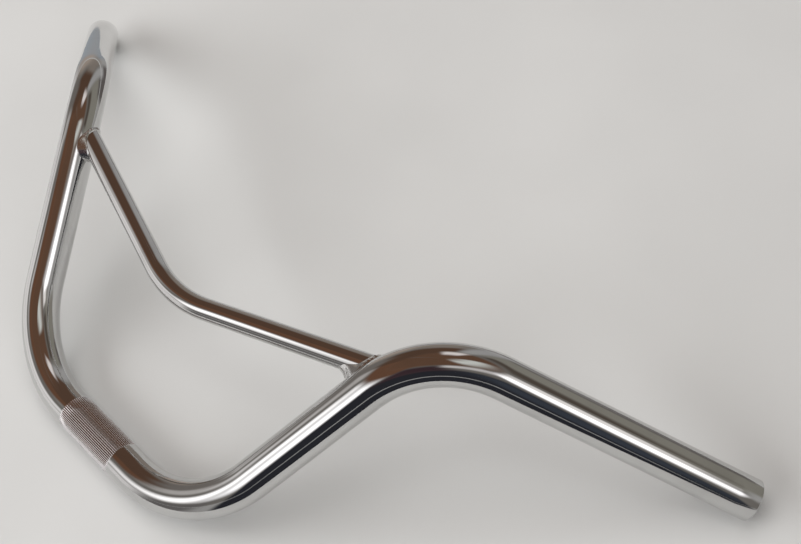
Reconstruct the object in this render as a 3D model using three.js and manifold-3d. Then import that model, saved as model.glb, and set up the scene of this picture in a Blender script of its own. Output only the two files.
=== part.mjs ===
// A chromed steel handlebar: one bent tube with a knurled clamp section, and a welded, bent crossbar.
//
// The bar is drawn in the plane of its risers first: X runs across the bar, Y runs up the risers from
// the clamp section, and the grips sweep back towards -Z. It is then tilted until it lies on the clamp
// section and on its two grip ends, with +Z up and the origin under the middle of its bounding box.
// All lengths are in millimetres.

import * as THREE from "three";
import { mergeVertices } from "three/addons/utils/BufferGeometryUtils.js";
import Module from "manifold-3d";

const wasm = await Module();
wasm.setup();

// Main tube: standard 22.2 mm (7/8 inch) control tube. A corner is where two straight axes meet.
const TUBE_DIAMETER = 22.2;
const TUBE_WALL = 2;
const CLAMP_CORNER_X = 82;
const RISER_CORNER = { x: 148, y: 160 };
const GRIP_END = { x: 289.5, y: 171.5, z: -111 };
const CLAMP_BEND_RADIUS = 75;
const GRIP_BEND_RADIUS = 60;

// Knurled band that the stem clamp grips: straight grooves rolled into the tube.
const KNURL_LENGTH = 48;
const KNURL_MIDDLE_X = -3;
const KNURL_GROOVES = 60;
const KNURL_DEPTH = 0.4;

// Crossbar: 12.7 mm (half inch) tube with one bend in its middle, coped to fit the risers.
const CROSSBAR_DIAMETER = 12.7;
const CROSSBAR_WALL = 1.5;
const CROSSBAR_BEND_RADIUS = 80;
const CROSSBAR_MIDDLE = { y: 93.5, z: 8 };
const CROSSBAR_JOINT = { riserShare: 0.843, z: -3.5 };

// Weld metal: a bead all round each crossbar end, and a web that fills the sharp corner under it.
// The web's legs are measured from the joint, along the crossbar and down the riser.
const WELD_REACH = 3.4;
const WEB_THICKNESS = 10;
const WEB_HOLLOW = 1;
const WEB_LEGS = { right: { crossbar: 27, riser: 24 }, left: { crossbar: 24.5, riser: 21.5 } };

const FIT_GAP = 0.3; // clearance kept between neighbouring solids
const TUBE_SIDES = 24;
const CROSSBAR_SIDES = 20;
const BEND_STEP = THREE.MathUtils.degToRad(7.5);

const tubeRadius = TUBE_DIAMETER / 2;
const crossbarRadius = CROSSBAR_DIAMETER / 2;

const chrome = { color: 0xd9dadb, metalness: 1, roughness: 0.06 };
const weldChrome = { color: 0xcfd0d1, metalness: 1, roughness: 0.18 };

// The centreline of a tube bent at its inner corners: straight legs joined by arcs. It has one
// station at each end of a leg and one every BEND_STEP round a bend.
class BentCentreline extends THREE.Curve {
  constructor(corners, radii) {
    super();
    const last = corners.length - 1;
    this.stations = [{ point: corners[0], tangent: direction(corners[0], corners[1]) }];
    radii.forEach((radius, i) => this.addBend(corners[i], corners[i + 1], corners[i + 2], radius));
    this.stations.push({ point: corners[last], tangent: direction(corners[last - 1], corners[last]) });
  }

  addBend(before, corner, after, radius) {
    const into = direction(before, corner);
    const out = direction(corner, after);
    const inward = out.clone().addScaledVector(into, -into.dot(out)).normalize();
    const angle = into.angleTo(out);
    const setback = radius * Math.tan(angle / 2);
    const centre = corner.clone().addScaledVector(into, -setback).addScaledVector(inward, radius);
    const steps = Math.ceil(angle / BEND_STEP);
    for (let i = 0; i <= steps; i++) {
      const turn = (angle * i) / steps;
      const radial = combine(inward, -Math.cos(turn), into, Math.sin(turn));
      this.stations.push({
        point: centre.clone().addScaledVector(radial, radius),
        tangent: combine(into, Math.cos(turn), inward, Math.sin(turn)),
      });
    }
  }

  get steps() {
    return this.stations.length - 1;
  }

  getPointAt(u) {
    return this.stations[Math.round(u * this.steps)].point.clone();
  }

  getTangentAt(u) {
    return this.stations[Math.round(u * this.steps)].tangent.clone();
  }
}

function vector(x, y, z = 0) {
  return new THREE.Vector3(x, y, z);
}

function direction(from, to) {
  return to.clone().sub(from).normalize();
}

function combine(a, amountOfA, b, amountOfB) {
  return a.clone().multiplyScalar(amountOfA).addScaledVector(b, amountOfB);
}

function circle(radius, sides) {
  return Array.from({ length: sides }, (_, i) =>
    new THREE.Vector2(radius, 0).rotateAround(new THREE.Vector2(), (2 * Math.PI * i) / sides),
  );
}

// A closed geometry as a solid that can be joined and cut.
function solid(geometry) {
  const bare = geometry.clone();
  bare.deleteAttribute("normal");
  bare.deleteAttribute("uv");
  const merged = mergeVertices(bare, 1e-4);
  return new wasm.Manifold(
    new wasm.Mesh({
      numProp: 3,
      vertProperties: merged.attributes.position.array,
      triVerts: new Uint32Array(merged.index.array),
    }),
  );
}

function mesh(name, made, look) {
  const { vertProperties, triVerts } = made.getMesh();
  const geometry = new THREE.BufferGeometry();
  geometry.setAttribute("position", new THREE.BufferAttribute(vertProperties, 3));
  geometry.setIndex(new THREE.BufferAttribute(triVerts, 1));
  geometry.computeVertexNormals();
  const piece = new THREE.Mesh(geometry, new THREE.MeshStandardMaterial(look));
  piece.name = name;
  return piece;
}

// A round bar along a centreline, or a tube if it has a bore.
function sweep(centreline, radius, sides, boreRadius = 0) {
  const section = new THREE.Shape(circle(radius, sides));
  if (boreRadius > 0) {
    section.holes.push(new THREE.Path(circle(boreRadius, sides)));
  }
  return solid(
    new THREE.ExtrudeGeometry(section, { steps: centreline.steps, extrudePath: centreline }),
  );
}

function straightRod(from, to, radius, sides) {
  return sweep(new BentCentreline([from, to], []), radius, sides);
}

function tubeCentreline() {
  const corners = [
    vector(CLAMP_CORNER_X, 0),
    vector(RISER_CORNER.x, RISER_CORNER.y),
    vector(GRIP_END.x, GRIP_END.y, GRIP_END.z),
  ];
  const mirrored = corners.map((corner) => vector(-corner.x, corner.y, corner.z)).reverse();
  const radii = [GRIP_BEND_RADIUS, CLAMP_BEND_RADIUS, CLAMP_BEND_RADIUS, GRIP_BEND_RADIUS];
  return new BentCentreline([...mirrored, ...corners], radii);
}

// Where the crossbar's axis ends, beside the axis of the riser on that side.
function jointPoint(side) {
  return vector(
    side * THREE.MathUtils.lerp(CLAMP_CORNER_X, RISER_CORNER.x, CROSSBAR_JOINT.riserShare),
    RISER_CORNER.y * CROSSBAR_JOINT.riserShare,
    CROSSBAR_JOINT.z,
  );
}

function crossbarCorner() {
  return vector(0, CROSSBAR_MIDDLE.y, CROSSBAR_MIDDLE.z);
}

function crossbarCentreline() {
  return new BentCentreline(
    [jointPoint(-1), crossbarCorner(), jointPoint(1)],
    [CROSSBAR_BEND_RADIUS],
  );
}

// A ring with a toothed inner outline, which cuts the knurl's grooves from the outside.
function knurlCutter() {
  const clearRadius = tubeRadius + FIT_GAP;
  const teeth = circle(clearRadius, 2 * KNURL_GROOVES);
  for (let i = 1; i < teeth.length; i += 2) {
    teeth[i].setLength(tubeRadius - KNURL_DEPTH);
  }
  const ring = new THREE.Shape(circle(clearRadius + 1, TUBE_SIDES));
  ring.holes.push(new THREE.Path(teeth));
  const cutter = new THREE.ExtrudeGeometry(ring, { depth: KNURL_LENGTH, bevelEnabled: false });
  cutter.translate(0, 0, -KNURL_LENGTH / 2);
  cutter.rotateY(Math.PI / 2);
  cutter.translate(KNURL_MIDDLE_X, 0, 0);
  return solid(cutter);
}

// The bead lies in the corner between the two tubes, no further than its reach from either.
function bead(joint, along) {
  const collarEnd = joint.clone().addScaledVector(along, 3 * tubeRadius);
  const collar = straightRod(joint, collarEnd, crossbarRadius + WELD_REACH, CROSSBAR_SIDES);
  return collar.intersect(sweep(mainline, tubeRadius + WELD_REACH, TUBE_SIDES));
}

// The web is a slab in the plane of the two axes, with a slightly hollow free edge.
function web(joint, along, down, legs) {
  const square = down.clone().addScaledVector(along, -along.dot(down)).normalize();
  const upright = along.clone().cross(square);
  const inPlane = (v) => new THREE.Vector2(v.dot(along), v.dot(square));
  const towardsCrossbar = along.clone().addScaledVector(down, -along.dot(down)).normalize();
  const crossbarToe = new THREE.Vector2(legs.crossbar, crossbarRadius);
  const riserToe = inPlane(combine(down, legs.riser, towardsCrossbar, tubeRadius));
  const riserFoot = inPlane(down.clone().multiplyScalar(legs.riser));
  const edgeMiddle = crossbarToe.clone().add(riserToe).multiplyScalar(0.5);
  const edgeControl = edgeMiddle.clone().setLength(edgeMiddle.length() - 2 * WEB_HOLLOW);
  const outline = new THREE.Shape();
  outline.moveTo(0, 0);
  outline.lineTo(legs.crossbar, 0);
  outline.lineTo(crossbarToe.x, crossbarToe.y);
  outline.quadraticCurveTo(edgeControl.x, edgeControl.y, riserToe.x, riserToe.y);
  outline.lineTo(riserFoot.x, riserFoot.y);
  const slab = new THREE.ExtrudeGeometry(outline, {
    depth: WEB_THICKNESS,
    bevelEnabled: false,
    curveSegments: 4,
  });
  slab.translate(0, 0, -WEB_THICKNESS / 2);
  slab.applyMatrix4(new THREE.Matrix4().makeBasis(along, square, upright).setPosition(joint));
  return solid(slab);
}

function weld(side, legs) {
  const joint = jointPoint(side);
  const along = direction(joint, crossbarCorner());
  const down = vector(side * (CLAMP_CORNER_X - RISER_CORNER.x), -RISER_CORNER.y).normalize();
  const throughEnd = joint.clone().addScaledVector(along, 5 * tubeRadius);
  const crossbarRoom = straightRod(joint, throughEnd, crossbarRadius + FIT_GAP, CROSSBAR_SIDES);
  return bead(joint, along)
    .add(web(joint, along, down, legs))
    .subtract(riserRoom)
    .subtract(crossbarRoom);
}

// The tilt at which the clamp section's underside and the grip ends touch one flat surface.
function restTilt() {
  const end = vector(GRIP_END.x, GRIP_END.y, GRIP_END.z);
  const grip = direction(vector(RISER_CORNER.x, RISER_CORNER.y), end);
  const clearance = (tilt) => {
    const up = vector(0, Math.sin(tilt), Math.cos(tilt));
    const rimDrop = tubeRadius * Math.sqrt(1 - grip.dot(up) ** 2);
    return end.dot(up) - rimDrop + tubeRadius;
  };
  let low = 0;
  let high = Math.PI / 2;
  while (high - low > 1e-9) {
    const middle = (low + high) / 2;
    if (clearance(middle) < 0) low = middle;
    else high = middle;
  }
  return low;
}

const mainline = tubeCentreline();
const riserRoom = sweep(mainline, tubeRadius + FIT_GAP, TUBE_SIDES);

const mainTube = sweep(mainline, tubeRadius, TUBE_SIDES, tubeRadius - TUBE_WALL)
  .subtract(knurlCutter());
const crossbar = sweep(
  crossbarCentreline(),
  crossbarRadius,
  CROSSBAR_SIDES,
  crossbarRadius - CROSSBAR_WALL,
).subtract(riserRoom);

const tilted = new THREE.Group();
tilted.rotation.x = restTilt();
tilted.add(
  mesh("main_tube", mainTube, chrome),
  mesh("crossbar", crossbar, chrome),
  mesh("left_weld", weld(-1, WEB_LEGS.left), weldChrome),
  mesh("right_weld", weld(1, WEB_LEGS.right), weldChrome),
);

const handlebar = new THREE.Group();
handlebar.add(tilted);
const box = new THREE.Box3().setFromObject(handlebar, true);
tilted.position.set(-(box.min.x + box.max.x) / 2, -(box.min.y + box.max.y) / 2, -box.min.z);

export default handlebar;
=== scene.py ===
"""A chromed steel handlebar with a knurled clamp section and a welded crossbar, in a small studio.

The file is laid out as a Blender add-on: sizes and colours are properties of the scene, each piece
and the stage have an operator, and a panel in the 3D view's sidebar lists them. Lengths are in metres.
"""

import math

import bmesh
import bpy
from bpy.props import FloatProperty, FloatVectorProperty, IntProperty, PointerProperty
from mathutils import Matrix, Vector, noise
from mathutils.bvhtree import BVHTree


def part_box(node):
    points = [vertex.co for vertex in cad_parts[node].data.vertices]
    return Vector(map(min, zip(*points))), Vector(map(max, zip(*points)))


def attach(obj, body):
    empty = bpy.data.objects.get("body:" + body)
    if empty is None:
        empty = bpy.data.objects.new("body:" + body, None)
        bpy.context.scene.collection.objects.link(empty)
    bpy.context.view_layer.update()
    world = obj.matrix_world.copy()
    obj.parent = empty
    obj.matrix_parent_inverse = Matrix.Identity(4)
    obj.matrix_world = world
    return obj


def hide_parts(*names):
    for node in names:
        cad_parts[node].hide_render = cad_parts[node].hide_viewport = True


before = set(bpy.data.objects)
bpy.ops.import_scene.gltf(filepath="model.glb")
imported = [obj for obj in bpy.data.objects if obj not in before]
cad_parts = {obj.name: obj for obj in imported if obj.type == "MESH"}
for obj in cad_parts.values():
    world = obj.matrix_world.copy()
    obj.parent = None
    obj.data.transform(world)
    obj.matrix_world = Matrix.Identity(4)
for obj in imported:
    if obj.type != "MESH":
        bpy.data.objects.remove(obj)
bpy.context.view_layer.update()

bl_info = {
    "name": "Chromed handlebar",
    "version": (1, 0, 0),
    "blender": (4, 5, 0),
    "location": "View3D > Sidebar > Handlebar",
    "description": "Builds a bent-tube handlebar with a welded crossbar, and a stage to show it on",
    "category": "Add Mesh",
}

MILLIMETRE = 0.001
BODY = "root"
TUBE_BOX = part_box("main_tube")
SIDES = {"left": -1, "right": 1}


# ---------------------------------------------------------------- sizes and colours


def length(name, description, millimetres):
    """A length property whose default is given in millimetres."""
    return FloatProperty(
        name=name,
        description=description,
        default=millimetres * MILLIMETRE,
        subtype="DISTANCE",
        unit="LENGTH",
        precision=4,
    )


def place(name, description, millimetres):
    """A point property in the bar's drawing plane, with its default in millimetres."""
    return FloatVectorProperty(
        name=name,
        description=description,
        default=[value * MILLIMETRE for value in millimetres],
        subtype="TRANSLATION",
        unit="LENGTH",
        precision=4,
    )


def turn(name, description, degrees):
    """An angle property whose default is given in degrees."""
    return FloatProperty(
        name=name,
        description=description,
        default=math.radians(degrees),
        subtype="ANGLE",
        unit="ROTATION",
    )


def tint(name, description, colour):
    """A colour property."""
    return FloatVectorProperty(
        name=name, description=description, default=colour, subtype="COLOR", min=0, max=1
    )


class HandlebarSizes(bpy.types.PropertyGroup):
    """Sizes of the bar, drawn in the plane of its risers: X across, Y up the risers."""

    lean: turn("Lean", "Angle between the plane of the risers and the surface below", 32.5214)
    tube_diameter: length("Tube diameter", "Outside of the main tube", 22.2)
    tube_wall: length("Tube wall", "Wall of the main tube", 2)
    clamp_corner: place("Clamp corner", "Where clamp and riser axes meet", (82, 0, 0))
    riser_corner: place("Riser corner", "Where riser and grip axes meet", (148, 160, 0))
    grip_end: place("Grip end", "Middle of the grip's open end", (289.5, 171.5, -111))
    clamp_bend: length("Clamp bend", "Radius of the bend beside the clamp section", 75)
    grip_bend: length("Grip bend", "Radius of the bend between riser and grip", 60)
    rim_edge: length("Rim edge", "Width of the broken edge round the open ends", 0.35)
    knurl_middle: length("Knurl middle", "How far the knurl's middle is off centre", -3)
    knurl_length: length("Knurl length", "Length of the knurled band", 48)
    knurl_depth: length("Knurl depth", "Depth of the rolled grooves", 0.38)
    knurl_grooves: IntProperty(
        name="Knurl grooves", description="Number of grooves round the tube", default=60
    )
    crossbar_diameter: length("Crossbar diameter", "Outside of the crossbar", 12.7)
    crossbar_wall: length("Crossbar wall", "Wall of the crossbar", 1.5)
    crossbar_bend: length("Crossbar bend", "Radius of the crossbar's middle bend", 80)
    crossbar_middle: place("Crossbar middle", "Where its two axes meet", (0, 93.5, 8))
    joint_share: FloatProperty(
        name="Joint share",
        description="How far up the riser the crossbar joins it",
        default=0.843,
        subtype="FACTOR",
        min=0,
        max=1,
    )
    joint_depth: length("Joint depth", "Height of the crossbar's ends off the riser plane", -3.5)
    bead_leg_right: length("Right bead leg", "Width of the right weld bead on each tube", 2.8)
    bead_leg_left: length("Left bead leg", "Width of the left weld bead on each tube", 1.7)
    web_leg_right: length("Right web leg", "Width of the right weld in the sharp corner", 9.5)
    web_leg_left: length("Left web leg", "Width of the left weld in the sharp corner", 4.8)


class HandlebarColours(bpy.types.PropertyGroup):
    """Colours of the finishes and of the stage."""

    chrome: tint("Chrome", "Bright plating", (0.62, 0.62, 0.615))
    knurl: tint("Knurl", "Plating over the rolled grooves", (0.78, 0.76, 0.77))
    weld_chrome: tint("Weld chrome", "Plating over weld metal", (0.68, 0.68, 0.675))
    # Painted shade: a dark colour laid deep in the knurl's grooves, where shade falls.
    painted_groove_shade: tint("Painted_groove_shade", "Dirt in the grooves", (0.22, 0.19, 0.20))
    # Partly painted shade: besides being bare steel, this dark colour stands in for the shade inside
    # the bore.
    bare_steel_and_painted_shade: tint("Bare steel", "Unplated inside of the tube", (0.10, 0.085, 0.075))
    floor: tint("Floor", "Surface that the bar lies on", (0.60, 0.61, 0.607))


# ---------------------------------------------------------------- where the bar lies


def mirrored(point):
    return Vector((-point.x, point.y, point.z))


def lay_down(sizes):
    """The move from the bar's drawing plane to where it lies on the surface."""
    radius = sizes.tube_diameter / 2
    clamp_axis = Vector((0, TUBE_BOX[0][1] + radius, TUBE_BOX[0][2] + radius))
    return Matrix.Translation(clamp_axis) @ Matrix.Rotation(sizes.lean, 4, "X")


def joint_point(sizes, side):
    """End of the crossbar's axis, beside the riser's axis."""
    foot, top = Vector(sizes.clamp_corner), Vector(sizes.riser_corner)
    point = foot.lerp(top, sizes.joint_share)
    return Vector((side * point.x, point.y, sizes.joint_depth))


# ---------------------------------------------------------------- bending tubes

SHARP_ANGLE = math.radians(50)


def edges_at(vertices):
    """The edges at some vertices, each once."""
    return list(dict.fromkeys(edge for vertex in vertices for edge in vertex.link_edges))


def edge_loop(mesh, centre, along, radius, sides):
    """A round wire standing square to a direction; gives its edges and vertices."""
    stand = along.to_track_quat("Z", "Y").to_matrix().to_4x4()
    made = bmesh.ops.create_circle(
        mesh, segments=sides, radius=radius, matrix=Matrix.Translation(centre) @ stand
    )
    return [*made["verts"], *edges_at(made["verts"])]


def push(mesh, loop, offset, steps):
    """Draws a loop out along a straight leg."""
    made = bmesh.ops.spin(
        mesh,
        geom=loop,
        cent=(0, 0, 0),
        axis=(0, 0, 1),
        dvec=offset / steps,
        angle=0,
        steps=steps,
        use_merge=False,
    )
    return made["geom_last"]


def bend_round(mesh, loop, centre, axis, angle, steps):
    """Draws a loop round a bend."""
    made = bmesh.ops.spin(
        mesh,
        geom=loop,
        cent=centre,
        axis=axis,
        dvec=(0, 0, 0),
        angle=angle,
        steps=steps,
        use_merge=False,
    )
    return made["geom_last"]


def bend_tube(mesh, corners, radii, tube_radius, sides, bend_step, leg_step):
    """Sweeps a round wall through a line of corners with rounded bends.

    Gives the edges at its two open ends.
    """
    into = (corners[1] - corners[0]).normalized()
    loop = edge_loop(mesh, corners[0], into, tube_radius, sides)
    first = [item for item in loop if isinstance(item, bmesh.types.BMEdge)]
    at = corners[0]
    for corner, following, radius in zip(corners[1:], corners[2:], radii):
        out = (following - corner).normalized()
        angle = into.angle(out)
        setback = radius * math.tan(angle / 2)
        inward = (out - into * into.dot(out)).normalized()
        start = corner - into * setback
        leg = start - at
        loop = push(mesh, loop, leg, max(1, round(leg.length / leg_step)))
        centre = start + inward * radius
        axis = into.cross(out).normalized()
        loop = bend_round(mesh, loop, centre, axis, angle, math.ceil(angle / bend_step))
        at = corner + out * setback
        into = out
    leg = corners[-1] - at
    loop = push(mesh, loop, leg, max(1, round(leg.length / leg_step)))
    last = [item for item in loop if isinstance(item, bmesh.types.BMEdge)]
    return first, last


def finish_piece(mesh, name, materials):
    """Turns a bmesh into a smooth-shaded object that rides on the bar's one body."""
    data = bpy.data.meshes.new(name)
    mesh.to_mesh(data)
    mesh.free()
    data.shade_smooth()
    data.set_sharp_from_angle(angle=SHARP_ANGLE)
    for material in materials:
        data.materials.append(material)
    piece = bpy.data.objects.new(name, data)
    bpy.context.scene.collection.objects.link(piece)
    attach(piece, BODY)
    return piece


# ---------------------------------------------------------------- main tube

TUBE_SIDES_PER_GROOVE = 4
MERGE_DISTANCE = 0.001 * MILLIMETRE
RIM_ANGLE = math.radians(60)
RIM_SEGMENTS = 3
CREST_ROUNDING = 4
BEND_STEP = math.radians(2)
LEG_STEP = 12 * MILLIMETRE
FITTING_SIDES = 96
KNURL_RUN_OUT = 0.5 * MILLIMETRE
KNURL_SHOULDER = 0.1 * MILLIMETRE
SKIN_SLOT, KNURL_SLOT, BORE_SLOT = range(3)


def tube_corners(sizes):
    right = [Vector(sizes.clamp_corner), Vector(sizes.riser_corner), Vector(sizes.grip_end)]
    left = [mirrored(point) for point in reversed(right)]
    return [*left, *right]


def new_faces(mesh, material_index, make):
    """Runs a step that adds faces, and gives those faces a material slot."""
    before = set(mesh.faces)
    made = make()
    for face in mesh.faces:
        if face not in before:
            face.material_index = material_index
    return made


def close_rim(mesh, outer_rim, centre, share):
    """Draws an outer rim inwards onto the bore's rim, so that the wall is closed and the bore open."""
    drawn = bmesh.ops.extrude_edge_only(mesh, edges=outer_rim)["geom"]
    bmesh.ops.scale(
        mesh,
        vec=(share, share, share),
        space=Matrix.Translation(-centre),
        verts=[item for item in drawn if isinstance(item, bmesh.types.BMVert)],
    )


def tube_with_bore(corners, radii, radius, wall, sides):
    """A bent tube with square-cut open ends, its outside and bore in slots of their own."""
    mesh = bmesh.new()
    for slot, wall_radius in ((BORE_SLOT, radius - wall), (SKIN_SLOT, radius)):
        rims = new_faces(
            mesh,
            slot,
            lambda: bend_tube(mesh, corners, radii, wall_radius, sides, BEND_STEP, LEG_STEP),
        )
    for outer_rim, centre in zip(rims, (corners[0], corners[-1])):
        new_faces(
            mesh, SKIN_SLOT, lambda: close_rim(mesh, outer_rim, centre, (radius - wall) / radius)
        )
    bmesh.ops.remove_doubles(mesh, verts=mesh.verts, dist=MERGE_DISTANCE)
    bmesh.ops.recalc_face_normals(mesh, faces=mesh.faces)
    return mesh


def sharp_rims(mesh):
    """The edges where a tube's end face meets its outside and its bore."""
    return [edge for edge in mesh.edges if edge.calc_face_angle(0) > RIM_ANGLE]


def roll_knurl(mesh, sizes):
    """Presses straight grooves between rounded crests into the clamp section."""
    low = sizes.knurl_middle - sizes.knurl_length / 2
    high = low + sizes.knurl_length
    run_out_ends = (low, low + KNURL_RUN_OUT, high - KNURL_RUN_OUT, high)
    for x in (low - KNURL_SHOULDER, *run_out_ends, high + KNURL_SHOULDER):
        everything = [*mesh.verts, *mesh.edges, *mesh.faces]
        bmesh.ops.bisect_plane(mesh, geom=everything, plane_co=(x, 0, 0), plane_no=(1, 0, 0))
    radius = sizes.tube_diameter / 2
    skin = radius - sizes.tube_wall / 2
    for face in mesh.faces:
        middle = face.calc_center_median()
        if low < middle.x < high and middle.yz.length > skin:
            face.material_index = KNURL_SLOT
    crests = [
        vertex
        for vertex in mesh.verts
        if low + KNURL_RUN_OUT / 2 < vertex.co.x < high - KNURL_RUN_OUT / 2
        and vertex.co.yz.length > skin
    ]
    phase = math.atan2(crests[0].co.z, crests[0].co.y) * sizes.knurl_grooves
    for vertex in crests:
        around = math.atan2(vertex.co.z, vertex.co.y) * sizes.knurl_grooves - phase
        depth = sizes.knurl_depth * math.sin(around / 2) ** CREST_ROUNDING
        vertex.co.yz = vertex.co.yz.normalized() * (radius - depth)


def tube_bends(sizes):
    return [sizes.grip_bend, sizes.clamp_bend, sizes.clamp_bend, sizes.grip_bend]


def tube_outside(sizes):
    """The main tube's outside as a plain surface, for fitting other pieces to it."""
    mesh = bmesh.new()
    bend_tube(
        mesh,
        tube_corners(sizes),
        tube_bends(sizes),
        sizes.tube_diameter / 2,
        FITTING_SIDES,
        BEND_STEP,
        LEG_STEP,
    )
    bmesh.ops.recalc_face_normals(mesh, faces=mesh.faces)
    surface = BVHTree.FromBMesh(mesh)
    mesh.free()
    return surface


def main_tube_mesh(sizes):
    """The whole main tube in the bar's drawing plane, knurl, bore and rims included."""
    mesh = tube_with_bore(
        tube_corners(sizes),
        tube_bends(sizes),
        sizes.tube_diameter / 2,
        sizes.tube_wall,
        TUBE_SIDES_PER_GROOVE * sizes.knurl_grooves,
    )
    bmesh.ops.bevel(
        mesh,
        geom=sharp_rims(mesh),
        offset=sizes.rim_edge,
        offset_type="OFFSET",
        affect="EDGES",
        segments=RIM_SEGMENTS,
        profile=0.5,
        material=-1,
    )
    bmesh.ops.recalc_face_normals(mesh, faces=mesh.faces)
    roll_knurl(mesh, sizes)
    return mesh


class HANDLEBAR_OT_main_tube(bpy.types.Operator):
    """Bends the main tube and rolls its knurl"""

    bl_idname = "handlebar.main_tube"
    bl_label = "Main tube"
    bl_options = {"REGISTER", "UNDO"}

    def execute(self, context):
        sizes = context.scene.handlebar_sizes
        colours = context.scene.handlebar_colours
        mesh = main_tube_mesh(sizes)
        mesh.transform(lay_down(sizes))
        finishes = [bright_chrome(colours), knurled_chrome(sizes, colours), bore_steel_and_painted_shade(colours)]
        piece = finish_piece(mesh, "bent_main_tube", finishes)
        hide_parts("main_tube")
        return {"FINISHED"}


# ---------------------------------------------------------------- crossbar

CROSSBAR_SIDES = 96
SUNK_IN_WALL = 0.5 * MILLIMETRE
LOOK_FROM = 60 * MILLIMETRE


def crossbar_line(sizes):
    return [joint_point(sizes, -1), Vector(sizes.crossbar_middle), joint_point(sizes, 1)]


def meet_tube(tube_surface, point, towards):
    """Where a line along the crossbar first meets the main tube's outside."""
    hit, *_ = tube_surface.ray_cast(point - towards * LOOK_FROM, towards)
    if hit is None:
        raise RuntimeError("the crossbar misses the main tube")
    return hit


def cope_ends(mesh, sizes, tube_surface):
    """Cuts both ends of the crossbar to the curve of the risers, just inside their walls."""
    line = crossbar_line(sizes)
    for end, neighbour in ((line[0], line[1]), (line[2], line[1])):
        towards = (end - neighbour).normalized()
        for vertex in mesh.verts:
            if abs((vertex.co - end).dot(towards)) < SUNK_IN_WALL:
                vertex.co = meet_tube(tube_surface, vertex.co, towards) + towards * SUNK_IN_WALL


class HANDLEBAR_OT_crossbar(bpy.types.Operator):
    """Bends the crossbar and copes its ends to the risers"""

    bl_idname = "handlebar.crossbar"
    bl_label = "Crossbar"
    bl_options = {"REGISTER", "UNDO"}

    def execute(self, context):
        sizes = context.scene.handlebar_sizes
        colours = context.scene.handlebar_colours
        mesh = tube_with_bore(
            crossbar_line(sizes),
            [sizes.crossbar_bend],
            sizes.crossbar_diameter / 2,
            sizes.crossbar_wall,
            CROSSBAR_SIDES,
        )
        cope_ends(mesh, sizes, tube_outside(sizes))
        mesh.transform(lay_down(sizes))
        # The crossbar's bore takes the same steel, darkened as painted shade.
        steel = bore_steel_and_painted_shade(colours)
        finishes = [bright_chrome(colours), steel, steel]
        piece = finish_piece(mesh, "bent_crossbar", finishes)
        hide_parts("crossbar")
        return {"FINISHED"}


# ---------------------------------------------------------------- welds

WELD_SIDES = 160
CROWN_LOOPS = 7
WELD_SINK = 0.25 * MILLIMETRE
BEAD_CROWN = 0.55 * MILLIMETRE
RIPPLE_PITCH = 1.7 * MILLIMETRE
RIPPLE_HEIGHT = 0.22 * MILLIMETRE
LUMP_SCALE = 0.7 / MILLIMETRE
LUMP_HEIGHT = 0.4 * MILLIMETRE
WEB_WAVE_SCALE = 0.12 / MILLIMETRE
WEB_WAVE_HEIGHT = 0.35 * MILLIMETRE

# By side, -1 left and 1 right: how far round the crossbar the web reaches, over what angle it turns
# into the bead, how much thinner it is at the riser, how hollow it is, and how far the metal is calm.
WEB_SPREAD = {-1: math.radians(128), 1: math.radians(94)}
WEB_FADE = {-1: math.radians(52), 1: math.radians(28)}
WEB_TAPER = {-1: -0.45, 1: 0.24}
WEB_HOLLOW = {-1: 0.3 * MILLIMETRE, 1: 0.9 * MILLIMETRE}
CALM_SPREAD = {-1: math.radians(168), 1: math.radians(140)}
CALM_STEEPNESS = 2.5
CALM_LUMP_LOSS = 0.9


def smooth_share(value):
    """Rises smoothly from 0 to 1 as the value does."""
    value = max(0.0, min(1.0, value))
    return value * value * (3 - 2 * value)


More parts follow.
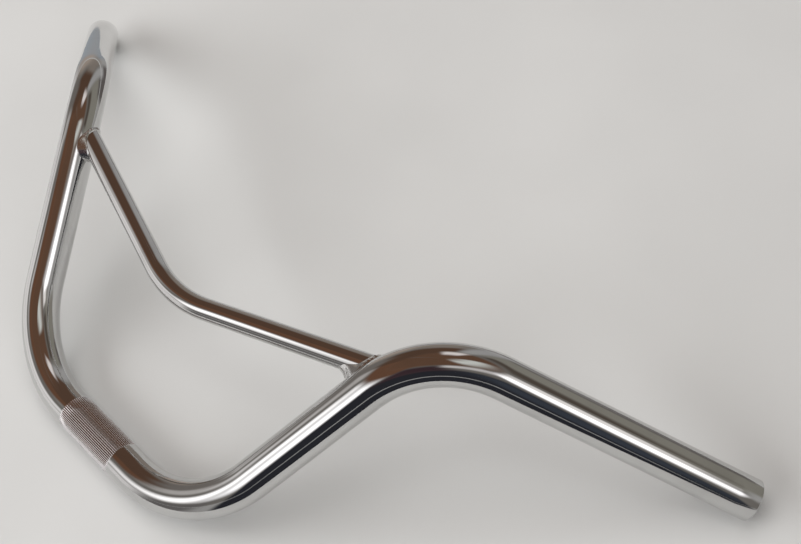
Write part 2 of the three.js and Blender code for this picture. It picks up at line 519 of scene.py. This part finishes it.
def weld_loops(sizes, side, tube_surface):
    """Points of the weld, loop by loop, from the crossbar's surface over the crown to the riser."""
    joint = joint_point(sizes, side)
    along = (Vector(sizes.crossbar_middle) - joint).normalized()
    foot, top = Vector(sizes.clamp_corner), Vector(sizes.riser_corner)
    down = Vector((side * (foot.x - top.x), foot.y - top.y, 0)).normalized()
    sharp = (down - along * down.dot(along)).normalized()
    across = along.cross(sharp)
    radius = sizes.crossbar_diameter / 2
    web_leg = sizes.web_leg_left if side < 0 else sizes.web_leg_right
    bead_leg = sizes.bead_leg_left if side < 0 else sizes.bead_leg_right
    loops = [[] for _ in range(CROWN_LOOPS + 3)]
    for i in range(WELD_SIDES):
        angle = 2 * math.pi * i / WELD_SIDES - math.pi
        outward = sharp * math.cos(angle) + across * math.sin(angle)
        seam = meet_tube(tube_surface, joint + outward * radius, -along)
        web = smooth_share((WEB_SPREAD[side] - abs(angle)) / WEB_FADE[side])
        calm_left = (CALM_SPREAD[side] - abs(angle)) / CALM_SPREAD[side]
        calm = smooth_share(calm_left * CALM_STEEPNESS)
        leg = bead_leg + (web_leg - bead_leg) * web
        leg += LUMP_HEIGHT * (1 - calm) * noise.noise(seam * LUMP_SCALE)
        toe_on_bar = seam + along * leg
        way = outward.lerp(sharp, web).normalized()
        thinned = across * (across.dot(seam - joint) * WEB_TAPER[side] * web)
        toe_on_riser = tube_surface.find_nearest(seam + way * leg - thinned)[0]
        to_bar = (toe_on_bar - seam).normalized()
        to_riser = (toe_on_riser - seam).normalized()
        bulge_way = (to_bar + to_riser).normalized()
        ripple = math.cos(2 * math.pi * angle * radius / RIPPLE_PITCH)
        for k in range(1, CROWN_LOOPS + 1):
            share = k / (CROWN_LOOPS + 1)
            arch = math.sin(math.pi * share)
            point = toe_on_bar.lerp(toe_on_riser, share)
            rise = BEAD_CROWN * (1 - web) - WEB_HOLLOW[side] * web
            rise += RIPPLE_HEIGHT * ripple * (1 - calm)
            rise += LUMP_HEIGHT * noise.noise(point * LUMP_SCALE) * (1 - CALM_LUMP_LOSS * calm)
            rise += WEB_WAVE_HEIGHT * noise.noise(point * WEB_WAVE_SCALE) * web
            loops[k].append(point + bulge_way * rise * arch)
        into_riser = tube_surface.find_nearest(toe_on_riser)[1] * -WELD_SINK
        loops[0].append(toe_on_bar - outward * WELD_SINK)
        loops[CROWN_LOOPS + 1].append(toe_on_riser + into_riser)
        loops[CROWN_LOOPS + 2].append(seam - bulge_way * WELD_SINK)
    return loops


def weld_mesh(sizes, side, tube_surface):
    """A closed ring of weld metal round one end of the crossbar."""
    mesh = bmesh.new()
    rings = []
    for points in weld_loops(sizes, side, tube_surface):
        made = bmesh.ops.create_circle(mesh, segments=WELD_SIDES, radius=sizes.tube_diameter)
        ring = made["verts"]
        for vertex, point in zip(ring, points):
            vertex.co = point
        rings.append(edges_at(ring))
    for ring, following in zip(rings, [*rings[1:], rings[0]]):
        bmesh.ops.bridge_loops(mesh, edges=[*ring, *following])
    bmesh.ops.recalc_face_normals(mesh, faces=mesh.faces)
    return mesh


class HANDLEBAR_OT_welds(bpy.types.Operator):
    """Lays the weld round each end of the crossbar"""

    bl_idname = "handlebar.welds"
    bl_label = "Welds"
    bl_options = {"REGISTER", "UNDO"}

    def execute(self, context):
        sizes = context.scene.handlebar_sizes
        colours = context.scene.handlebar_colours
        tube_surface = tube_outside(sizes)
        for name, side in SIDES.items():
            mesh = weld_mesh(sizes, side, tube_surface)
            mesh.transform(lay_down(sizes))
            piece = finish_piece(mesh, f"{name}_weld_bead", [weld_chrome(colours)])
            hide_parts(f"{name}_weld")
        return {"FINISHED"}


# ---------------------------------------------------------------- finishes

HAZE_FROM = 0.45
HAZE_FULL = 0.72
HAZE_DULLING = 0.9
# How strongly painted shade darkens the groove bottoms, and how far below the crest it stops.
GROOVE_SHADE_SHARE = 0.6
SHADE_FREE_CREST = 0.05 * MILLIMETRE
BORE_METALLIC = 0.35
BORE_SPECULAR = 0.2


def add_node(tree, kind, **values):
    """Adds a node and sets its properties, or its inputs where the value's name is a socket's."""
    node = tree.nodes.new(kind)
    for name, value in values.items():
        socket = next((s for s in node.inputs if s.name.replace(" ", "_") == name), None)
        if socket is not None and not hasattr(node, name):
            if isinstance(value, bpy.types.NodeSocket):
                tree.links.new(value, socket)
            else:
                socket.default_value = value
        else:
            setattr(node, name, value)
    return node


def math_node(tree, operation, first, second=None):
    """A Math node's result; each operand is a number or a socket."""
    node = tree.nodes.new("ShaderNodeMath")
    node.operation = operation
    for socket, value in zip(node.inputs, (first, second)):
        if isinstance(value, bpy.types.NodeSocket):
            tree.links.new(value, socket)
        elif value is not None:
            socket.default_value = value
    return node.outputs[0]


def ramp(tree, value, low, high, to_low, to_high):
    """Maps a value smoothly from one range to another."""
    node = add_node(tree, "ShaderNodeMapRange", interpolation_type="SMOOTHSTEP", Value=value)
    for name, number in (
        ("From Min", low),
        ("From Max", high),
        ("To Min", to_low),
        ("To Max", to_high),
    ):
        node.inputs[name].default_value = number
    return node.outputs["Result"]


def blend_colours(tree, share, first, second):
    """Mixes two colours; each is a colour or a socket."""
    node = tree.nodes.new("ShaderNodeMix")
    node.data_type = "RGBA"
    colour_sockets = [s for s in node.inputs if s.name in ("A", "B") and s.type == "RGBA"]
    sockets = [node.inputs["Factor"], *colour_sockets]
    for socket, value in zip(sockets, (share, first, second)):
        if isinstance(value, bpy.types.NodeSocket):
            tree.links.new(value, socket)
        elif hasattr(value, "__len__"):
            socket.default_value = (*value[:3], 1)
        else:
            socket.default_value = value
    return next(s for s in node.outputs if s.type == "RGBA")


def handled_surface_group():
    """Shader node group: finger haze and the faint waves of a polished, plated surface."""
    name = "handled surface"
    if name in bpy.data.node_groups:
        return bpy.data.node_groups[name]
    group = bpy.data.node_groups.new(name, "ShaderNodeTree")
    for socket, low in (("Roughness", 0.05), ("Haze", 0.05), ("Haze size", 30), ("Wave size", 60)):
        made = group.interface.new_socket(name=socket, in_out="INPUT", socket_type="NodeSocketFloat")
        made.default_value = low
    for socket in ("Roughness", "Height", "Haze mask"):
        group.interface.new_socket(name=socket, in_out="OUTPUT", socket_type="NodeSocketFloat")
    given = group.nodes.new("NodeGroupInput").outputs
    result = group.nodes.new("NodeGroupOutput").inputs
    where = group.nodes.new("ShaderNodeTexCoord").outputs["Object"]
    smear = add_node(
        group, "ShaderNodeTexNoise", Vector=where, Scale=given["Haze size"], Detail=5, Roughness=0.6
    )
    mask = ramp(group, smear.outputs["Fac"], HAZE_FROM, HAZE_FULL, 0, 1)
    hazy = math_node(group, "MULTIPLY", mask, given["Haze"])
    group.links.new(math_node(group, "ADD", given["Roughness"], hazy), result["Roughness"])
    waves = add_node(group, "ShaderNodeTexNoise", Vector=where, Scale=given["Wave size"], Detail=2)
    group.links.new(waves.outputs["Fac"], result["Height"])
    group.links.new(mask, result["Haze mask"])
    return group


def metal(name, colour, roughness, haze, haze_size, wave_size, wave_height):
    """A plated or bare metal on the handled surface; gives the material, its tree, its shader and
    the socket of its colour.
    """
    material = bpy.data.materials.new(name)
    material.use_nodes = True
    tree = material.node_tree
    shader = tree.nodes["Principled BSDF"]
    shader.inputs["Metallic"].default_value = 1
    surface = tree.nodes.new("ShaderNodeGroup")
    surface.node_tree = handled_surface_group()
    for socket, value in (
        ("Roughness", roughness),
        ("Haze", haze),
        ("Haze size", haze_size),
        ("Wave size", wave_size),
    ):
        surface.inputs[socket].default_value = value
    dulled = [value * HAZE_DULLING for value in colour]
    shade = blend_colours(tree, surface.outputs["Haze mask"], colour, dulled)
    tree.links.new(shade, shader.inputs["Base Color"])
    tree.links.new(surface.outputs["Roughness"], shader.inputs["Roughness"])
    bump = add_node(tree, "ShaderNodeBump", Distance=wave_height, Height=surface.outputs["Height"])
    tree.links.new(bump.outputs["Normal"], shader.inputs["Normal"])
    return material, tree, shader, shade


def bright_chrome(colours):
    material = bpy.data.materials.get("bright chrome")
    if material is None:
        material, *_ = metal(
            "bright chrome",
            colours.chrome,
            roughness=0.045,
            haze=0.05,
            haze_size=24,
            wave_size=55,
            wave_height=0.03 * MILLIMETRE,
        )
    return material


def knurled_chrome(sizes, colours):
    """Chrome over the rolled grooves, with shade painted into the colour low in them."""
    material, tree, shader, shade = metal(
        "knurled chrome",
        colours.knurl,
        roughness=0.11,
        haze=0.05,
        haze_size=180,
        wave_size=400,
        wave_height=0.02 * MILLIMETRE,
    )
    clamp_axis = lay_down(sizes).translation
    where = tree.nodes.new("ShaderNodeTexCoord").outputs["Object"]
    centred = add_node(tree, "ShaderNodeMapping", vector_type="POINT", Vector=where)
    centred.inputs["Location"].default_value = -clamp_axis
    centred.inputs["Scale"].default_value = (0, 1, 1)
    from_axis = add_node(tree, "ShaderNodeVectorMath", operation="LENGTH")
    tree.links.new(centred.outputs["Vector"], from_axis.inputs[0])
    crest = sizes.tube_diameter / 2
    # Painted shade: the colour darkens towards the bottom of the grooves.
    groove_shade_mask = ramp(
        tree,
        from_axis.outputs["Value"],
        crest - sizes.knurl_depth,
        crest - SHADE_FREE_CREST,
        GROOVE_SHADE_SHARE,
        0,
    )
    tree.links.new(blend_colours(tree, groove_shade_mask, shade, colours.painted_groove_shade), shader.inputs["Base Color"])
    return material


def bore_steel_and_painted_shade(colours):
    """Unplated steel, which hardly mirrors; its colour is darkened past bare steel as painted shade
    inside the tube.
    """
    material = bpy.data.materials.get("bore steel")
    if material is None:
        material, _, shader, _ = metal(
            "bore steel",
            colours.bare_steel_and_painted_shade,
            roughness=0.6,
            haze=0.2,
            haze_size=90,
            wave_size=300,
            wave_height=0.1 * MILLIMETRE,
        )
        shader.inputs["Metallic"].default_value = BORE_METALLIC
        shader.inputs["Specular IOR Level"].default_value = BORE_SPECULAR
    return material


def weld_chrome(colours):
    material = bpy.data.materials.get("weld chrome")
    if material is None:
        material, *_ = metal(
            "weld chrome",
            colours.weld_chrome,
            roughness=0.16,
            haze=0.15,
            haze_size=220,
            wave_size=700,
            wave_height=0.06 * MILLIMETRE,
        )
    return material


# ---------------------------------------------------------------- stage

FLOOR_SIZE = 40
FLOOR_ROUGHNESS = 0.6
FLOOR_SPECULAR = 0.2
CLOUD_SCALE = 6
CLOUD_RANGE = (0.3, 0.7)
CLOUD_DARKENING = 0.95

# How far from the bar the floor starts to fade into the backdrop, and where it has.
COVE_START = 0.9
COVE_END = 3.5

# The camera's place, its turns in degrees, and its lens and sensor in millimetres.
CAMERA_PLACE = Vector((0.42546, -0.14492, 0.57513))
CAMERA_TURN = (37.1527, 9.4406, 45.8695)
CAMERA_LENS = 53.93
SENSOR_WIDTH = 36

ROOM_BRIGHTNESS = 3
WALL_COLOUR = (0.2, 0.185, 0.17)
BACKDROP_COLOUR = (0.60, 0.595, 0.58)

# How the table top lies under the bar, and its left, right, near and far edges from the origin.
TABLE_TURN = 22.4
TABLE_EDGES = (-0.28, 1.2, -0.18, 0.3)

# Soft panels round the bar, which the chrome mirrors. Each has a name, the azimuth and elevation of
# its middle, its half width, half height and soft edge, in degrees, and its colour.
ROOM = (
    ("beyond the table", 0, -50, 180, 50, 4, (0.40, 0.39, 0.38)),
    ("pale floor at left", -160, -18, 24, 17, 5, (0.75, 0.73, 0.72)),
    ("blue shade at right", 152, -22, 18, 16, 6, (0.31, 0.335, 0.36)),
    ("brown ceiling", 0, 75, 180, 20, 5, (0.15, 0.082, 0.052)),
    ("ceiling over windows", -130, 50, 54, 9, 5, (0.165, 0.083, 0.05)),
    ("ceiling over cupboard", 158, 42, 38, 18, 6, (0.115, 0.066, 0.044)),
    ("right wall", 62, 20, 42, 22, 8, (0.28, 0.265, 0.23)),
    ("dark skirting", 100, -9, 20, 17, 5, (0.14, 0.125, 0.12)),
    ("shade over wall", 66, 43, 28, 6, 5, (0.10, 0.08, 0.065)),
    ("warm corner", 135, 10, 12, 16, 8, (0.28, 0.24, 0.21)),
    ("rose corner", 160, 0, 14, 14, 10, (0.42, 0.35, 0.30)),
    ("left back wall", -172, 22, 16, 14, 8, (0.20, 0.18, 0.165)),
    ("left wall", -154, 29, 10, 9, 6, (0.55, 0.52, 0.50)),
    ("left wall foot", -142, -3, 24, 12, 6, (0.95, 0.92, 0.91)),
    ("between windows", -110, 27, 10, 12, 6, (0.85, 0.83, 0.83)),
    ("under windows", -106, -4, 11, 14, 6, (0.16, 0.15, 0.148)),
    ("low left pane", -141, 16, 11, 7, 5, (1.0, 0.97, 0.96)),
    ("left window", -121, 26, 8, 11, 7, (1.9, 1.86, 1.86)),
    ("tall window", -93, 28, 10, 10, 8, (2.1, 2.07, 2.1)),
    ("dark figure", -52, -8, 29, 40, 4, (0.028, 0.029, 0.036)),
    ("figure's top", -62, 40, 15, 12, 6, (0.055, 0.032, 0.038)),
    ("blue sleeve", -34, 18, 10, 12, 7, (0.05, 0.058, 0.075)),
    ("lit cornice", -32, 49, 18, 5, 4, (0.75, 0.71, 0.70)),
    ("front window", -2, 39, 11, 10, 6, (2.2, 2.15, 2.18)),
    ("front window side", 16, 44, 9, 6, 5, (1.1, 1.05, 1.02)),
    ("pale curtain", 20, 12, 14, 19, 8, (0.45, 0.44, 0.43)),
    ("skylight", 10, 71, 36, 9, 9, (0.78, 0.79, 0.75)),
    ("right lamp", 119, 62, 15, 8, 6, (0.95, 0.88, 0.86)),
    ("door gap", 111, 20, 8, 30, 5, (0.42, 0.41, 0.405)),
)


def soft_panel_group():
    """Shader node group: how much of a direction a soft-edged panel covers."""
    group = bpy.data.node_groups.new("soft panel", "ShaderNodeTree")
    for socket in ("Azimuth", "Elevation", "Middle azimuth", "Middle elevation"):
        group.interface.new_socket(name=socket, in_out="INPUT", socket_type="NodeSocketFloat")
    for socket in ("Half width", "Half height", "Soft edge"):
        group.interface.new_socket(name=socket, in_out="INPUT", socket_type="NodeSocketFloat")
    group.interface.new_socket(name="Cover", in_out="OUTPUT", socket_type="NodeSocketFloat")
    given = group.nodes.new("NodeGroupInput").outputs
    result = group.nodes.new("NodeGroupOutput").inputs

    def cover(distance, half):
        inner = math_node(group, "SUBTRACT", half, given["Soft edge"])
        outer = math_node(group, "ADD", half, given["Soft edge"])
        node = add_node(group, "ShaderNodeMapRange", interpolation_type="SMOOTHSTEP", Value=distance)
        group.links.new(inner, node.inputs["From Min"])
        group.links.new(outer, node.inputs["From Max"])
        node.inputs["To Min"].default_value = 1
        node.inputs["To Max"].default_value = 0
        return node.outputs["Result"]

    aside = math_node(group, "SUBTRACT", given["Azimuth"], given["Middle azimuth"])
    wrap = group.nodes.new("ShaderNodeMath")
    wrap.operation = "WRAP"
    group.links.new(aside, wrap.inputs[0])
    wrap.inputs[1].default_value = 180
    wrap.inputs[2].default_value = -180
    aside = math_node(group, "ABSOLUTE", wrap.outputs[0])
    above = math_node(group, "SUBTRACT", given["Elevation"], given["Middle elevation"])
    above = math_node(group, "ABSOLUTE", above)
    both = math_node(
        group, "MULTIPLY", cover(aside, given["Half width"]), cover(above, given["Half height"])
    )
    group.links.new(both, result["Cover"])
    return group


def surround_with_room():
    """Sets the world: a plain pale backdrop to the camera, and the room's panels to the chrome."""
    world = bpy.data.worlds.new("room")
    bpy.context.scene.world = world
    world.use_nodes = True
    tree = world.node_tree
    background = tree.nodes["Background"]
    towards = tree.nodes.new("ShaderNodeTexCoord").outputs["Generated"]
    parts = add_node(tree, "ShaderNodeSeparateXYZ", Vector=towards).outputs
    azimuth = math_node(tree, "ARCTAN2", parts["Y"], parts["X"])
    azimuth = math_node(tree, "DEGREES", azimuth)
    elevation = math_node(tree, "DEGREES", math_node(tree, "ARCSINE", parts["Z"]))
    panel = soft_panel_group()
    shade = [value / ROOM_BRIGHTNESS for value in WALL_COLOUR]
    for name, middle_azimuth, middle_elevation, half_width, half_height, soft_edge, colour in ROOM:
        node = tree.nodes.new("ShaderNodeGroup")
        node.node_tree = panel
        node.label = name
        tree.links.new(azimuth, node.inputs["Azimuth"])
        tree.links.new(elevation, node.inputs["Elevation"])
        for socket, value in (
            ("Middle azimuth", middle_azimuth),
            ("Middle elevation", middle_elevation),
            ("Half width", half_width),
            ("Half height", half_height),
            ("Soft edge", soft_edge),
        ):
            node.inputs[socket].default_value = value
        dimmed = [value / ROOM_BRIGHTNESS for value in colour]
        shade = blend_colours(tree, node.outputs["Cover"], shade, dimmed)
    seen = tree.nodes.new("ShaderNodeLightPath").outputs["Is Camera Ray"]
    backdrop = [value / ROOM_BRIGHTNESS for value in BACKDROP_COLOUR]
    tree.links.new(blend_colours(tree, seen, shade, backdrop), background.inputs["Color"])
    background.inputs["Strength"].default_value = ROOM_BRIGHTNESS


def past_table_edges(tree, where):
    """1 where a point of the floor is past the edges of the table top, else 0."""
    turned = add_node(tree, "ShaderNodeMapping", vector_type="POINT", Vector=where)
    turned.inputs["Rotation"].default_value = (0, 0, -math.radians(TABLE_TURN))
    parts = add_node(tree, "ShaderNodeSeparateXYZ", Vector=turned.outputs["Vector"]).outputs
    left, right, near, far = TABLE_EDGES
    past = math_node(tree, "LESS_THAN", parts["X"], left)
    for operation, value, edge in (
        ("GREATER_THAN", parts["X"], right),
        ("LESS_THAN", parts["Y"], near),
        ("GREATER_THAN", parts["Y"], far),
    ):
        past = math_node(tree, "MAXIMUM", past, math_node(tree, operation, value, edge))
    return past


def floor_material(colours):
    """A pale satin surface with a barely uneven tone.

    It fades into the backdrop far off. What the chrome mirrors of it ends at the edges of a
    table top, with the room beyond.
    """
    material = bpy.data.materials.new("pale floor")
    material.use_nodes = True
    tree = material.node_tree
    shader = tree.nodes["Principled BSDF"]
    where = tree.nodes.new("ShaderNodeTexCoord").outputs["Object"]
    clouds = add_node(tree, "ShaderNodeTexNoise", Vector=where, Scale=CLOUD_SCALE, Detail=2)
    paler = ramp(tree, clouds.outputs["Fac"], *CLOUD_RANGE, 0, 1)
    darker = [value * CLOUD_DARKENING for value in colours.floor]
    tree.links.new(blend_colours(tree, paler, darker, colours.floor), shader.inputs["Base Color"])
    shader.inputs["Roughness"].default_value = FLOOR_ROUGHNESS
    shader.inputs["Specular IOR Level"].default_value = FLOOR_SPECULAR
    mirrored_ray = tree.nodes.new("ShaderNodeLightPath").outputs["Is Glossy Ray"]
    opened = math_node(tree, "MULTIPLY", past_table_edges(tree, where), mirrored_ray)
    through = tree.nodes.new("ShaderNodeBsdfTransparent")
    mix = tree.nodes.new("ShaderNodeMixShader")
    tree.links.new(opened, mix.inputs["Fac"])
    tree.links.new(shader.outputs["BSDF"], mix.inputs[1])
    tree.links.new(through.outputs["BSDF"], mix.inputs[2])
    backdrop = tree.nodes.new("ShaderNodeEmission")
    backdrop.inputs["Color"].default_value = (*BACKDROP_COLOUR, 1)
    distance = add_node(tree, "ShaderNodeVectorMath", operation="LENGTH")
    tree.links.new(where, distance.inputs[0])
    cove = tree.nodes.new("ShaderNodeMixShader")
    faded = ramp(tree, distance.outputs["Value"], COVE_START, COVE_END, 0, 1)
    tree.links.new(faded, cove.inputs["Fac"])
    tree.links.new(mix.outputs["Shader"], cove.inputs[1])
    tree.links.new(backdrop.outputs["Emission"], cove.inputs[2])
    tree.links.new(cove.outputs["Shader"], tree.nodes["Material Output"].inputs["Surface"])
    return material


def lay_floor(colours):
    mesh = bmesh.new()
    bmesh.ops.create_grid(mesh, x_segments=2, y_segments=2, size=FLOOR_SIZE / 2)
    data = bpy.data.meshes.new("floor")
    mesh.to_mesh(data)
    mesh.free()
    data.materials.append(floor_material(colours))
    floor = bpy.data.objects.new("floor", data)
    bpy.context.scene.collection.objects.link(floor)


# Soft lamps that light the floor. Each has a name, azimuth, elevation, distance, width, height
# and power.
LAMPS = (
    ("left windows", -114, 33, 2.6, 3.2, 1.3, 56),
    ("front window", -2, 45, 2.6, 1.4, 1.2, 5),
    ("ceiling bounce", 131, 78, 2.1, 1.8, 1.8, 21),
)
LAMP_COLOUR = (1.0, 0.995, 0.985)


def light_floor():
    """Soft lamps for the floor and its shadows; the chrome mirrors the room instead."""
    for name, azimuth, elevation, distance, width, height, power in LAMPS:
        data = bpy.data.lights.new(name, "AREA")
        data.shape = "RECTANGLE"
        data.size = width
        data.size_y = height
        data.energy = power
        data.color = LAMP_COLOUR
        lamp = bpy.data.objects.new(name, data)
        turned, raised = math.radians(azimuth), math.radians(elevation)
        away = Vector(
            (
                math.cos(turned) * math.cos(raised),
                math.sin(turned) * math.cos(raised),
                math.sin(raised),
            )
        )
        lamp.location = away * distance
        lamp.rotation_euler = away.to_track_quat("Z", "Y").to_euler()
        lamp.visible_glossy = False
        bpy.context.scene.collection.objects.link(lamp)


def place_camera():
    data = bpy.data.cameras.new("camera")
    data.lens = CAMERA_LENS
    data.sensor_width = SENSOR_WIDTH
    camera = bpy.data.objects.new("camera", data)
    camera.location = CAMERA_PLACE
    camera.rotation_euler = [math.radians(angle) for angle in CAMERA_TURN]
    bpy.context.scene.collection.objects.link(camera)
    bpy.context.scene.camera = camera


class HANDLEBAR_OT_stage(bpy.types.Operator):
    """Lays the floor, surrounds it with the room, lights it and places the camera"""

    bl_idname = "handlebar.stage"
    bl_label = "Stage"
    bl_options = {"REGISTER", "UNDO"}

    def execute(self, context):
        lay_floor(context.scene.handlebar_colours)
        surround_with_room()
        light_floor()
        place_camera()
        context.scene.view_settings.view_transform = "Standard"
        return {"FINISHED"}


# ---------------------------------------------------------------- panel and start


class HANDLEBAR_PT_sidebar(bpy.types.Panel):
    """Lists the handlebar's operators and sizes"""

    bl_idname = "HANDLEBAR_PT_sidebar"
    bl_label = "Handlebar"
    bl_space_type = "VIEW_3D"
    bl_region_type = "UI"
    bl_category = "Handlebar"

    def draw(self, context):
        for operator in OPERATORS:
            self.layout.operator(operator.bl_idname)
        for group in (context.scene.handlebar_sizes, context.scene.handlebar_colours):
            column = self.layout.column()
            for name in group.__annotations__:
                column.prop(group, name)


OPERATORS = (
    HANDLEBAR_OT_stage,
    HANDLEBAR_OT_main_tube,
    HANDLEBAR_OT_crossbar,
    HANDLEBAR_OT_welds,
)
CLASSES = (HandlebarSizes, HandlebarColours, *OPERATORS, HANDLEBAR_PT_sidebar)


def register():
    for cls in CLASSES:
        bpy.utils.register_class(cls)
    bpy.types.Scene.handlebar_sizes = PointerProperty(type=HandlebarSizes)
    bpy.types.Scene.handlebar_colours = PointerProperty(type=HandlebarColours)


def unregister():
    del bpy.types.Scene.handlebar_colours
    del bpy.types.Scene.handlebar_sizes
    for cls in reversed(CLASSES):
        bpy.utils.unregister_class(cls)


def main():
    register()
    bpy.ops.handlebar.stage()
    bpy.ops.handlebar.main_tube()
    bpy.ops.handlebar.crossbar()
    bpy.ops.handlebar.welds()


if __name__ == "__main__":
    main()
